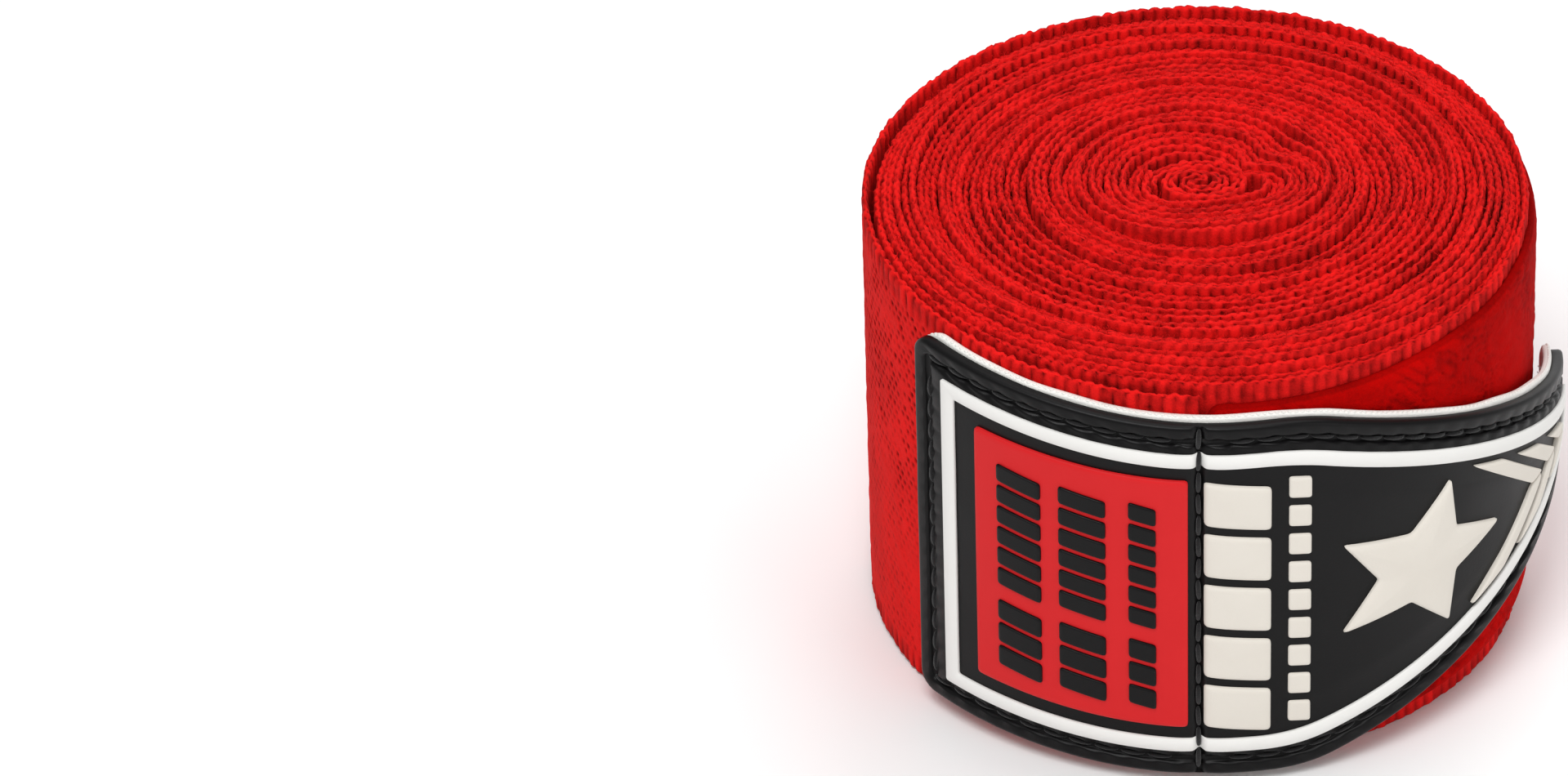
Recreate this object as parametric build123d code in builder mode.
from build123d import *
import os
from math import asin, atan2, ceil, cos, degrees, hypot, radians, sin, sqrt

# Elastic hand wrap, wound into a roll that lies flat on one edge of the strip.
# Millimetres and degrees. The origin is on the winding axis, in the plane the roll lies on, +Z up.
# Directions round the roll are counted from +X towards +Y, and the front of the roll is -Y, at 270.

# ---- Driving dimensions ----

# Elastic strip and its winding
strip_width = 50.0
strip_thickness = 0.9
wound_long = 64.8            # wound turns across X
wound_short = 60.0           # wound turns across Y
body_gap = 0.3               # room between pieces that move apart
turn_groove_count = 11
turn_groove_width = 0.3
turn_groove_depth = 0.7
first_groove_inset = 1.8

# Thumb loop, folded flat in the middle of the roll
pocket_length = 6.2
pocket_width = 3.0
pocket_depth = 32.0
loop_room = 0.25             # room round the folded loop in its pocket
loop_width = 27.0            # width of the webbing, along the winding axis
loop_thickness = 0.7
loop_top_drop = 1.0

# Loop pile patch on the last turn
patch_width = 44.0
patch_thickness = 0.9
patch_start = 271.4 - 360.0
patch_stop = 112.0

# Loose end of the strip, which swings out from the side of the roll
flap_hinge_at = 180.0
flap_hinge_gap = 0.35

# Badge: moulded rubber on hook tape, sewn on at the square end and free at the pointed end
badge_width = 44.0
badge_drop = 3.6             # top edge of the roll to the top edge of the badge
badge_start = 216.3          # square end
badge_corner = 2.0
hook_thickness = 0.9
rubber_thickness = 1.2
inlay_height = 0.5
fold_at = 270.0
fold_gap = 0.68              # each side of the fold line
fold_axis_depth = 0.5        # fold line, below the outer face of the rubber

# Free tab: it leaves the roll slowly and tapers to a blunt point
tab_lift_long = 0.8
tab_lift_short = 0.6
tip_margin = 0.9             # room past the taper, for the end of the tab's band
taper_facing = -32.2         # direction that the middle of the taper faces
taper_from = -20.5           # shoulder, along the taper, from the winding axis
taper_to = 22.0              # tip
tip_width = 6.8
shoulder_round = 7.0
tip_round = 2.6

# Decoration of the badge
stitch_inset = 1.9
stitch_groove_width = 1.1
stitch_groove_depth = 0.5
stripe_inset = 3.2
stripe_width = 1.6
panel_inset = 6.4            # panel to the long edges
panel_start_inset = 8.1      # panel to the square end
panel_end_margin = 1.1       # panel to fold line
mark_height = 0.3
panel_mark_rows = [(0.23, 4.6), (0.53, 4.6), (0.80, 2.6)]
panel_mark_words = [(0.09, 0.36), (0.42, 0.91)]
title_near = 3.6             # centre line of the title blocks, beyond the fold line
title_height = 6.4
title_length = 32.0
title_count = 5
title_gap = 1.1
dash_near = 9.6              # centre line of the row of dashes, beyond the fold line
dash_height = 2.2
dash_count = 9
dash_gap = 1.2
emblem_margin = 0.8          # emblem to white stripe
star_at = -10.2              # centre of the star, along the taper
star_radius = 9.4
star_waist = 0.48
chevron_from = 5.3
chevron_width = 2.3
chevron_gap = 1.3
chevron_count = 3
chevron_slope = 1.1

# Sewing thread
thread_width = 0.5
thread_height = 0.3
stitch_length = 1.7
stitch_pitch = 2.7
thread_rest = 0.01           # thread to the face it lies on

# Joint travel
flap_open = 55.0
tab_open = 65.0

# ---- Values worked out from them ----

wound = (wound_long / 2, wound_short / 2, 0.0)
flap_near = body_gap
flap_far = flap_near + strip_thickness
hook_far = flap_far + hook_thickness
rubber_far = hook_far + rubber_thickness
inlay_far = rubber_far + inlay_height
tab_path = (wound[0] + tab_lift_long, wound[1] + tab_lift_short, tab_lift_short)

badge_top = strip_width - badge_drop
badge_bottom = badge_top - badge_width
badge_middle = (badge_top + badge_bottom) / 2
patch_bottom = (strip_width - patch_width) / 2
pocket_floor = strip_width - pocket_depth

fold_radius = wound[1] + rubber_far
fold_turn = degrees(asin(fold_gap / fold_radius))
sewn_stop = fold_at - fold_turn
tab_start = fold_at + fold_turn
flap_turn = degrees(flap_hinge_gap / (wound[0] + flap_far))

flap_hinge = (-(wound[0] + flap_near + strip_thickness / 2), 0.0)
tab_hinge = (0.0, -(fold_radius - fold_axis_depth))

along = (-sin(radians(taper_facing)), cos(radians(taper_facing)))
outward = (cos(radians(taper_facing)), sin(radians(taper_facing)))
taper_plane = Plane(
    origin=(0, 0, badge_middle),
    x_dir=(along[0], along[1], 0),
    z_dir=(outward[0], outward[1], 0),
)
reach = wound_long


# ---- Shapes that several pieces share ----

def wedge(start, stop):
    """A pie slice about the winding axis, between two directions."""
    steps = max(2, ceil((stop - start) / 45))
    turns = [radians(start + (stop - start) * i / steps) for i in range(steps + 1)]
    with BuildSketch() as pie:
        with BuildLine():
            Polyline((0, 0), *[(2 * reach * cos(t), 2 * reach * sin(t)) for t in turns], close=True)
        make_face()
    return pie.sketch


def oval_band(path, near, far, start, stop):
    """A stretch of the band between two offsets from an oval path."""
    half_long, half_short, shift = path
    with BuildSketch() as band:
        with Locations((0, shift)):
            Ellipse(half_long + far, half_short + far)
            Ellipse(half_long + near, half_short + near, mode=Mode.SUBTRACT)
        add(wedge(start, stop), mode=Mode.INTERSECT)
    return band.sketch


def wrapped_slab(near, far, start, stop, bottom, top):
    """A rectangle of material wrapped round the roll."""
    with BuildPart() as slab:
        with BuildSketch(Plane.XY.offset(bottom)):
            add(oval_band(wound, near, far, start, stop))
        extrude(amount=top - bottom)
    return slab.part


def turn_at(path, offset, direction):
    """Point and outward normal of an offset oval, where a ray from the axis crosses it."""
    half_long, half_short, shift = path[0] + offset, path[1] + offset, path[2]
    c, s = cos(radians(direction)), sin(radians(direction))
    a = (c / half_long) ** 2 + (s / half_short) ** 2
    b = -2 * s * shift / half_short ** 2
    k = (shift / half_short) ** 2 - 1
    r = (-b + sqrt(b * b - 4 * a * k)) / (2 * a)
    x, y = r * c, r * s
    nx, ny = x / half_long ** 2, (y - shift) / half_short ** 2
    size = hypot(nx, ny)
    return (x, y), (nx / size, ny / size)


def beyond(path, offset, start, distance):
    """Direction reached by going a distance round an offset oval, counterclockwise."""
    direction, gone, step = start, 0.0, 0.25
    (x, y), _ = turn_at(path, offset, direction)
    sign = 1 if distance >= 0 else -1
    while gone < abs(distance):
        direction += sign * step
        (nx, ny), _ = turn_at(path, offset, direction)
        gone += hypot(nx - x, ny - y)
        x, y = nx, ny
    return direction


def half_width(u):
    """Half the width of the tab at a place along its taper."""
    if u <= taper_from:
        return badge_width / 2
    share = (u - taper_from) / (taper_to - taper_from)
    return badge_width / 2 + (tip_width - badge_width) / 2 * share


# the direction of the tab's point, where its band has gone past the end of the taper
tab_tip_at = fold_at
tip_along = 0.0
while tip_along < taper_to + tip_margin:
    tab_tip_at += 0.1
    tip_point, _ = turn_at(tab_path, hook_far, tab_tip_at)
    tip_along = tip_point[0] * along[0] + tip_point[1] * along[1]


def tab_outline(margin):
    """Outline of the tab, drawn facing the middle of the taper and drawn in by a margin."""
    wide, tip = badge_width / 2, tip_width / 2
    start = -reach
    with BuildSketch() as outline:
        with BuildLine():
            Polyline(
                (start, -wide), (taper_from, -wide), (taper_to, -tip),
                (taper_to, tip), (taper_from, wide), (start, wide), close=True,
            )
        make_face()
        corners = outline.vertices()
        fillet(corners.filter_by_position(Axis.X, taper_to - 1, taper_to + 1), tip_round)
        shoulders = outline.vertices().filter_by_position(Axis.X, taper_from - 1, taper_from + 1)
        fillet(shoulders, shoulder_round)
        if margin > 0:
            offset(amount=-margin, kind=Kind.INTERSECTION, mode=Mode.REPLACE)
    return outline.sketch


def tab_shell(near, far, margin=0.0):
    """The tab's outline, wrapped on the oval path that lifts off the roll."""
    with BuildPart() as shell:
        with BuildSketch():
            add(oval_band(tab_path, near, far, tab_start, tab_tip_at))
        extrude(amount=strip_width)
        with BuildSketch(taper_plane):
            add(tab_outline(margin))
        extrude(amount=reach, mode=Mode.INTERSECT)
    return shell.part


def tab_inlay(sketch):
    """A flat drawing on the taper plane, raised from the rubber of the tab."""
    with BuildPart() as inlay:
        with BuildSketch():
            add(oval_band(tab_path, rubber_far, inlay_far, tab_start, tab_tip_at))
        extrude(amount=strip_width)
        with BuildSketch(taper_plane):
            add(sketch)
        extrude(amount=reach, mode=Mode.INTERSECT)
    return inlay.part


def thread_plane(path, offset, direction, height, rise=0.0):
    """Plane of one stitch lying on an offset oval. rise is its slope along the strip's width."""
    (x, y), (nx, ny) = turn_at(path, offset + thread_rest, direction)
    run = sqrt(max(0.0, 1 - rise * rise))
    return Plane(origin=(x, y, height), x_dir=(-ny * run, nx * run, rise), z_dir=(nx, ny, 0))


def stitches(planes, length=stitch_length):
    """A row of stitches, one on each plane."""
    with BuildPart() as row:
        with BuildSketch(*planes):
            SlotOverall(length, thread_width)
        extrude(amount=thread_height)
    return row.part


def spread(low, high, pitch):
    """Evenly spaced places between two ends, about a pitch apart."""
    count = max(1, round((high - low) / pitch))
    return [low + (high - low) * (i + 0.5) / count for i in range(count)]


# ---- Elastic strip ----

with BuildPart() as wound_strip:
    with BuildSketch():
        Ellipse(wound[0], wound[1])
    extrude(amount=strip_width)
    # the last turn, where nothing is sewn to it and it doesn't swing out
    with BuildSketch():
        add(oval_band(wound, -strip_thickness, flap_far, patch_stop + flap_turn, flap_hinge_at - flap_turn))
    extrude(amount=strip_width)
    # pocket in the middle turns, which the folded thumb loop fills
    with BuildSketch(Plane.XY.offset(pocket_floor)):
        SlotOverall(pocket_length, pocket_width)
    extrude(amount=strip_width - pocket_floor, mode=Mode.SUBTRACT)
    # oval grooves between groups of turns, on both faces of the roll
    groove_pitch = (wound[1] - first_groove_inset - pocket_length) / turn_groove_count
    with BuildSketch(Plane.XY, Plane.XY.offset(strip_width - turn_groove_depth)):
        for i in range(turn_groove_count):
            inset = first_groove_inset + i * groove_pitch
            Ellipse(wound[0] - inset, wound[1] - inset)
            inset += turn_groove_width
            Ellipse(wound[0] - inset, wound[1] - inset, mode=Mode.SUBTRACT)
    extrude(amount=turn_groove_depth, mode=Mode.SUBTRACT)

with BuildPart() as strip_end:
    with BuildSketch():
        add(oval_band(wound, flap_near, flap_far, flap_hinge_at + flap_turn, sewn_stop))
    extrude(amount=strip_width)

# ---- Thumb loop ----

loop_outer_length = pocket_length - 2 * loop_room
loop_outer_width = pocket_width - 2 * loop_room
loop_top = strip_width - loop_top_drop
loop_side = -pocket_width / 2 + loop_outer_width     # far face of the loop, across its pocket

with BuildPart() as thumb_loop:
    with BuildSketch(Plane.XY.offset(loop_top - loop_width)):
        with Locations((0, loop_side - loop_outer_width / 2)):
            SlotOverall(loop_outer_length, loop_outer_width)
            SlotOverall(
                loop_outer_length - 2 * loop_thickness,
                loop_outer_width - 2 * loop_thickness,
                mode=Mode.SUBTRACT,
            )
    extrude(amount=loop_width)

tack_heights = spread(loop_top - loop_width / 2, loop_top, stitch_pitch)
tack_planes = [
    Plane(origin=(0, loop_side + thread_rest, z), x_dir=(1, 0, 0), z_dir=(0, 1, 0)) for z in tack_heights
]
thumb_loop_stitching = stitches(tack_planes)

# ---- Loop pile patch ----

with BuildPart() as loop_patch:
    with BuildSketch(Plane.XY.offset(patch_bottom)):
        add(oval_band(wound, 0, patch_thickness, patch_start, patch_stop))
    extrude(amount=patch_width)

patch_seam_from = tab_tip_at - 360 + 8.0
patch_seam_to = patch_stop - 3.0
seam_turn = degrees(stitch_pitch / wound[0])
patch_planes = []
for direction in spread(patch_seam_from, patch_seam_to, seam_turn):
    for height in (patch_bottom + stitch_inset, patch_bottom + patch_width - stitch_inset):
        patch_planes.append(thread_plane(wound, patch_thickness, direction, height))
seam_low = patch_bottom + stitch_inset + stitch_pitch
seam_high = patch_bottom + patch_width - stitch_inset - stitch_pitch
for height in spread(seam_low, seam_high, stitch_pitch):
    patch_planes.append(thread_plane(wound, patch_thickness, patch_seam_to, height, rise=1.0))
loop_patch_stitching = stitches(patch_planes)

# ---- Badge, the half that is sewn to the strip ----

groove_half = stitch_groove_width / 2
end_turn = degrees(1 / (wound[0] + rubber_far))      # one millimetre round the square end


def sewn_frame(near, far, outer, inner):
    """A frame along three sides of the sewn half, open at the fold line."""
    with BuildPart() as frame:
        add(wrapped_slab(
            near, far, badge_start + outer * end_turn, sewn_stop, badge_bottom + outer, badge_top - outer,
        ))
        add(wrapped_slab(
            near - inlay_height, far + inlay_height, badge_start + inner * end_turn, sewn_stop + fold_turn,
            badge_bottom + inner, badge_top - inner,
        ), mode=Mode.SUBTRACT)
    return frame.part


def square_end(part):
    """The two corner edges at the square end of the badge."""
    corners = []
    for edge in part.edges():
        middle = edge.center()
        radial = hypot(middle.X, middle.Y) > wound[1] and edge.length < 2 * strip_thickness
        at_end = middle.X < turn_at(wound, 0, badge_start + 4 * end_turn)[0][0]
        if radial and at_end and abs(edge.tangent_at(0.5).Z) < 0.1:
            corners.append(edge)
    return corners


with BuildPart() as hook_tape_sewn:
    with BuildSketch(Plane.XY.offset(badge_bottom)):
        add(oval_band(wound, flap_far, hook_far, badge_start, sewn_stop))
    extrude(amount=badge_width)
    fillet(square_end(hook_tape_sewn), badge_corner)

with BuildPart() as badge_sewn_half:
    with BuildSketch(Plane.XY.offset(badge_bottom)):
        add(oval_band(wound, hook_far, rubber_far, badge_start, sewn_stop))
    extrude(amount=badge_width)
    fillet(square_end(badge_sewn_half), badge_corner)
    add(sewn_frame(
        rubber_far - stitch_groove_depth, rubber_far + inlay_height,
        stitch_inset - groove_half, stitch_inset + groove_half,
    ), mode=Mode.SUBTRACT)

with BuildPart() as badge_stripe_sewn:
    add(sewn_frame(rubber_far, inlay_far, stripe_inset, stripe_inset + stripe_width))

panel_start = badge_start + panel_start_inset * end_turn
panel_stop = fold_at - panel_end_margin * end_turn
panel_bottom = badge_bottom + panel_inset
panel_top = badge_top - panel_inset
with BuildPart() as badge_panel:
    add(wrapped_slab(rubber_far, inlay_far, panel_start, panel_stop, panel_bottom, panel_top))

panel_turn = panel_stop - panel_start
panel_height = panel_top - panel_bottom
with BuildPart() as panel_marks:
    for row, tall in panel_mark_rows:
        middle = panel_start + row * panel_turn
        half = tall / 2 * end_turn
        for low, high in panel_mark_words:
            add(wrapped_slab(
                inlay_far, inlay_far + mark_height, middle - half, middle + half,
                panel_bottom + low * panel_height, panel_bottom + high * panel_height,
            ))

groove_floor = rubber_far - stitch_groove_depth
stitch_turn = degrees(stitch_pitch / (wound[0] + groove_floor))
sewn_from = badge_start + stitch_inset * end_turn
sewn_planes = []
for direction in spread(sewn_from + stitch_turn / 2, sewn_stop - stitch_turn / 4, stitch_turn):
    for height in (badge_bottom + stitch_inset, badge_top - stitch_inset):
        sewn_planes.append(thread_plane(wound, groove_floor, direction, height))
sewn_low = badge_bottom + stitch_inset + stitch_pitch / 2
sewn_high = badge_top - stitch_inset - stitch_pitch / 2
for height in spread(sewn_low, sewn_high, stitch_pitch):
    sewn_planes.append(thread_plane(wound, groove_floor, sewn_from, height, rise=1.0))
edge_stitching_sewn = stitches(sewn_planes)

# the seam across the badge, in the open fold line, against the sewn half
seam_x = -fold_gap / 2
seam_depth = fold_radius - rubber_thickness - thread_height
cross_low = badge_bottom + stitch_pitch / 2
cross_high = badge_top - stitch_pitch / 2
cross_planes = [
    Plane(origin=(seam_x, -seam_depth, z), x_dir=(0, 0, 1), z_dir=(0, -1, 0))
    for z in spread(cross_low, cross_high, stitch_pitch)
]
cross_stitching = stitches(cross_planes)

# ---- Badge, the free tab ----

with BuildPart() as hook_tape_tab:
    add(tab_shell(flap_far, hook_far))

with BuildPart() as badge_tab_half:
    add(tab_shell(hook_far, rubber_far))
    add(tab_shell(groove_floor, rubber_far + inlay_height, stitch_inset - groove_half)
        - tab_shell(groove_floor - inlay_height, rubber_far + 2 * inlay_height, stitch_inset + groove_half),
        mode=Mode.SUBTRACT)

with BuildPart() as badge_stripe_tab:
    add(tab_shell(rubber_far, inlay_far, stripe_inset))
    add(tab_shell(rubber_far - inlay_height, inlay_far + inlay_height, stripe_inset + stripe_width),
        mode=Mode.SUBTRACT)


def tab_block(centre, tall, bottom, top):
    """A raised rectangle on the tab, a distance beyond the fold line."""
    first = beyond(tab_path, rubber_far, fold_at, centre - tall / 2)
    last = beyond(tab_path, rubber_far, fold_at, centre + tall / 2)
    with BuildPart() as block:
        with BuildSketch(Plane.XY.offset(bottom)):
            add(oval_band(tab_path, rubber_far, inlay_far, first, last))
        extrude(amount=top - bottom)
    return block.part


def block_row(centre, tall, count, gap):
    """A row of equal raised blocks across the badge."""
    each = (title_length - (count - 1) * gap) / count
    start = badge_middle - title_length / 2
    with BuildPart() as row:
        for i in range(count):
            low = start + i * (each + gap)
            add(tab_block(centre, tall, low, low + each))
    return row.part


title_blocks = block_row(title_near, title_height, title_count, title_gap)
tagline_dashes = block_row(dash_near, dash_height, dash_count, dash_gap)

emblem_field = tab_outline(stripe_inset + stripe_width + emblem_margin)
with BuildSketch() as star_sketch:
    with Locations((star_at, 0)):
        points = [
            (
                (star_radius if i % 2 == 0 else star_radius * star_waist) * cos(radians(36 * i)),
                (star_radius if i % 2 == 0 else star_radius * star_waist) * sin(radians(36 * i)),
            )
            for i in range(10)
        ]
        Polygon(*points, align=None)
    add(emblem_field, mode=Mode.INTERSECT)

with BuildSketch() as chevron_sketch:
    for i in range(chevron_count):
        near = chevron_from + i * (chevron_width + chevron_gap)
        wide = half_width(near)
        back = near - wide * chevron_slope
        with BuildLine():
            Polyline(
                (near, 0), (back, wide), (back + chevron_width, wide),
                (near + chevron_width, 0), (back + chevron_width, -wide), (back, -wide), close=True,
            )
        make_face()
    add(emblem_field, mode=Mode.INTERSECT)

badge_star = tab_inlay(star_sketch.sketch)
badge_chevrons = tab_inlay(chevron_sketch.sketch - star_sketch.sketch)


def tab_edge(distance, side):
    """Plane of a stitch in the groove that follows the edge of the tab."""
    here = beyond(tab_path, groove_floor, fold_at, distance)
    (x, y), (nx, ny) = turn_at(tab_path, groove_floor, here)
    u = x * along[0] + y * along[1]
    slope = 0.0
    if u > taper_from:
        slope = -(badge_width - tip_width) / 2 / (taper_to - taper_from)
    drawn_in = stitch_inset * sqrt(1 + slope * slope)
    facing = nx * outward[0] + ny * outward[1]
    height = badge_middle + side * (half_width(u) - drawn_in)
    climb = side * slope * facing
    return thread_plane(tab_path, groove_floor, here, height, rise=climb / sqrt(1 + climb * climb))


tab_length = 0.0
while beyond(tab_path, groove_floor, fold_at, tab_length) < tab_tip_at:
    tab_length += 1.0
tab_planes = [
    tab_edge(distance, side)
    for distance in spread(stitch_pitch / 2, tab_length - 2 * stitch_pitch, stitch_pitch)
    for side in (-1, 1)
]
edge_stitching_tab = stitches(tab_planes)

# ---- Labels and files ----

pieces = {
    "wound_strip": wound_strip.part,
    "strip_end": strip_end.part,
    "thumb_loop": thumb_loop.part,
    "thumb_loop_stitching": thumb_loop_stitching,
    "loop_patch": loop_patch.part,
    "loop_patch_stitching": loop_patch_stitching,
    "hook_tape_sewn": hook_tape_sewn.part,
    "hook_tape_tab": hook_tape_tab.part,
    "badge_sewn_half": badge_sewn_half.part,
    "badge_tab_half": badge_tab_half.part,
    "badge_stripe_sewn": badge_stripe_sewn.part,
    "badge_stripe_tab": badge_stripe_tab.part,
    "badge_panel": badge_panel.part,
    "panel_marks": panel_marks.part,
    "title_blocks": title_blocks,
    "tagline_dashes": tagline_dashes,
    "badge_star": badge_star,
    "badge_chevrons": badge_chevrons,
    "edge_stitching_sewn": edge_stitching_sewn,
    "edge_stitching_tab": edge_stitching_tab,
    "cross_stitching": cross_stitching,
}

os.makedirs("parts", exist_ok=True)
for name, part in pieces.items():
    part.label = name
    export_step(part, f"parts/{name}.step")

print("flap hinge at", flap_hinge, "opens", flap_open)
print("tab hinge at", tab_hinge, "opens", tab_open)
print("badge", badge_bottom, "to", badge_top, "tab length", tab_length)
